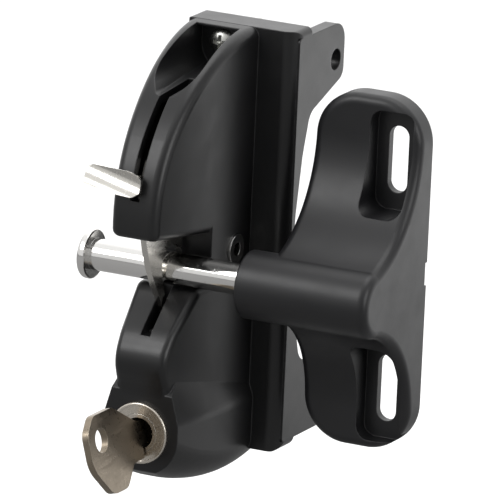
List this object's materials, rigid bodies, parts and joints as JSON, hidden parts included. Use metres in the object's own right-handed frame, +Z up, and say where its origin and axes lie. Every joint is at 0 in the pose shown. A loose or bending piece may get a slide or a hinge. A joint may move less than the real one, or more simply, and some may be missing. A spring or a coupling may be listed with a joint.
{
  "type": "lockable gate latch",
  "caption": "Black post-mounted gate latch with a lifting steel tongue, thumb tab, key lock and a striker with a button-headed pin.",
  "frame": {"origin": "on the post face, level with the striker pin's axis and in the plane of the tongue", "axes": "+X from the latch to the striker, +Y back into the post, +Z up"},
  "size_m": [0.1039, 0.1172, 0.1437],
  "materials": {
    "black_polymer": "fine moulded grain",
    "striker_polymer": "fine moulded grain",
    "polished_steel": "polished stainless plate",
    "plain_steel": "ground",
    "zinc_steel": "zinc plated",
    "spring_steel": "drawn wire",
    "zinc_casting": "die cast zinc",
    "bright_chrome": "mirror",
    "nickel": "satin nickel",
    "key_nickel": "worn nickel silver",
    "brass": "turned",
    "nylon": "moulded"
  },
  "bodies": {
    "latch": {"latch_body": "black_polymer", "back_cover": "black_polymer", "cover_screws": "zinc_steel", "mounting_screw": "zinc_steel", "pivot_pin": "plain_steel", "pivot_spacers": "nylon", "tongue_spring": "spring_steel", "mouth_rivet": "bright_chrome", "lock_shell": "zinc_casting", "lock_ring": "nickel", "lock_clip": "spring_steel"},
    "tongue": {"tongue_plate": "polished_steel", "tongue_bush": "brass"},
    "plug": {"lock_plug": "nickel", "lock_wafers": "brass", "lock_cam": "zinc_casting", "cam_screw": "zinc_steel"},
    "key": {"key": "key_nickel"},
    "slide": {"lock_slide": "plain_steel", "lock_bolt": "plain_steel"},
    "striker": {"striker_bracket": "striker_polymer", "barrel_insert": "brass", "barrel_collar": "black_polymer", "striker_pin": "bright_chrome"}
  },
  "joints": [
    {"name": "tongue_lift", "type": "hinge", "parent": "latch", "child": "tongue", "pos_m": [0, -0.0245, 0.02], "axis": [-1, 0, 0], "range_deg": [0, 39], "stiffness_Nm_per_rad": 0.03, "springref_deg": -34.38, "deforming": ["tongue_spring"]},
    {"name": "key_turn", "type": "hinge", "parent": "latch", "child": "plug", "pos_m": [0, -0.045, -0.051], "axis": [0, 1, 0], "range_deg": [0, 90]},
    {"name": "slide_lift", "type": "slide", "parent": "latch", "child": "slide", "axis": [0, 0, 1], "range_m": [0, 0.0075]},
    {"name": "key_withdraw", "type": "slide", "parent": "plug", "child": "key", "axis": [0, -1, 0], "range_m": [0, 0.026]},
    {"name": "gate_gap", "type": "slide", "parent": "latch", "child": "striker", "axis": [1, 0, 0], "range_m": [-0.0022, 0.014]}
  ],
  "couplings": [
    {"joint": "key_turn", "follows": "slide_lift", "rad_per_m": 209.57}
  ]
}
